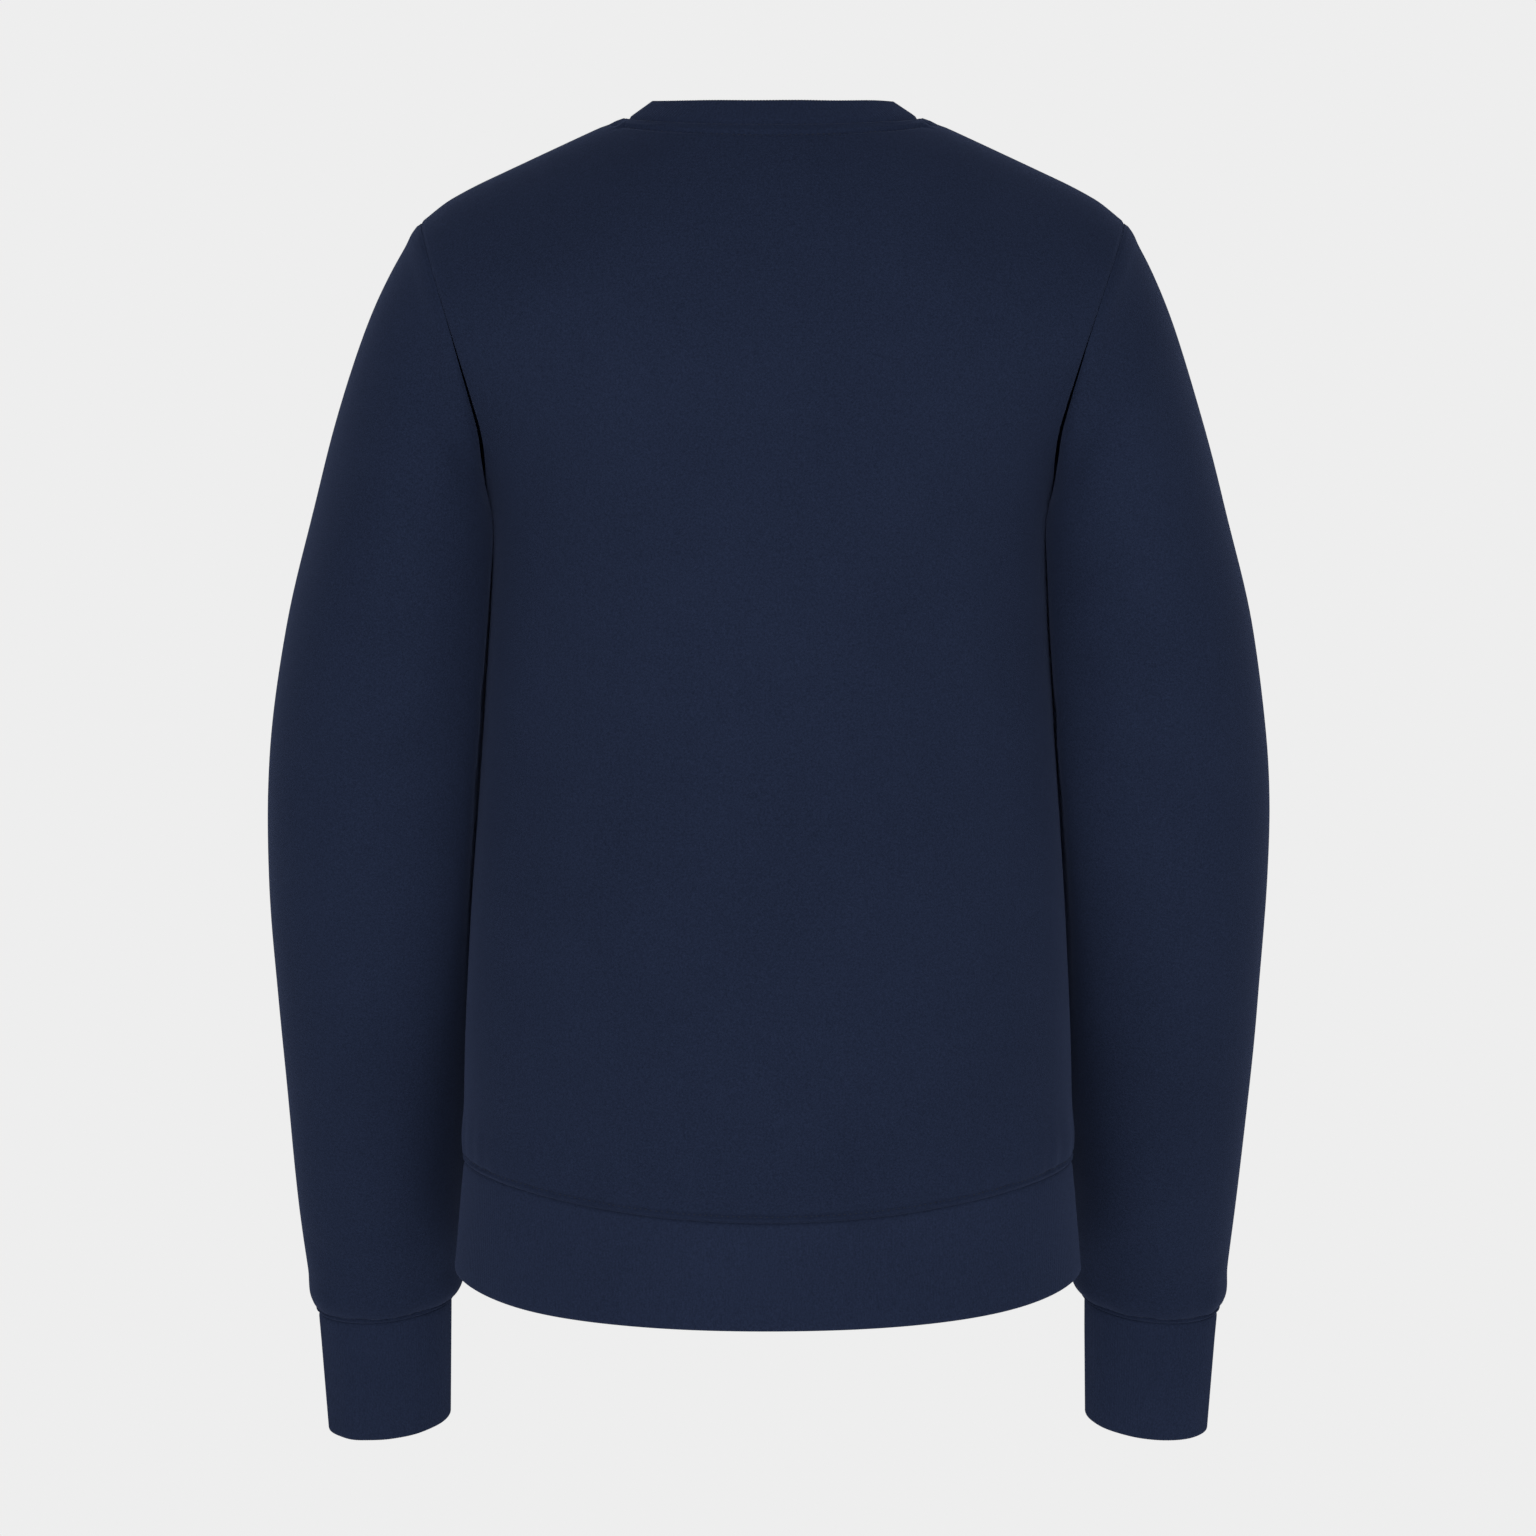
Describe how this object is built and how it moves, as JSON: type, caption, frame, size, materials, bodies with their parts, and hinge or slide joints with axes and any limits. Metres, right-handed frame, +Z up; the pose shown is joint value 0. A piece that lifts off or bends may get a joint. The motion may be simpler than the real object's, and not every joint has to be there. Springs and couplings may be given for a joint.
{
  "type": "crewneck sweatshirt",
  "caption": "Long-sleeved crewneck pullover with set-in sleeves and ribbed neck, cuffs and hem, hollow and filled out as if worn, for dressing an upper body",
  "frame": {"origin": "the middle of the neck, level with the points where the shoulder seams meet the neck rib, where a wearer's neck and shoulders hold the garment", "axes": "+Z up, along the body's length; the front of the garment faces -Y and its back +Y; the wearer's left is at +X"},
  "size_m": [0.533, 0.2492, 0.7299],
  "materials": {
    "navy_fleece": "matt cotton sweatshirt fleece with a fine smooth knit face, dark navy",
    "navy_rib": "matt ribbed cotton knit, dark navy"
  },
  "bodies": {
    "root": {"front": "navy_fleece", "back": "navy_fleece", "sleeve_left": "navy_fleece", "sleeve_right": "navy_fleece", "neck_rib": "navy_rib", "hem_rib": "navy_rib", "cuff_left": "navy_rib", "cuff_right": "navy_rib"}
  },
  "joints": []
}
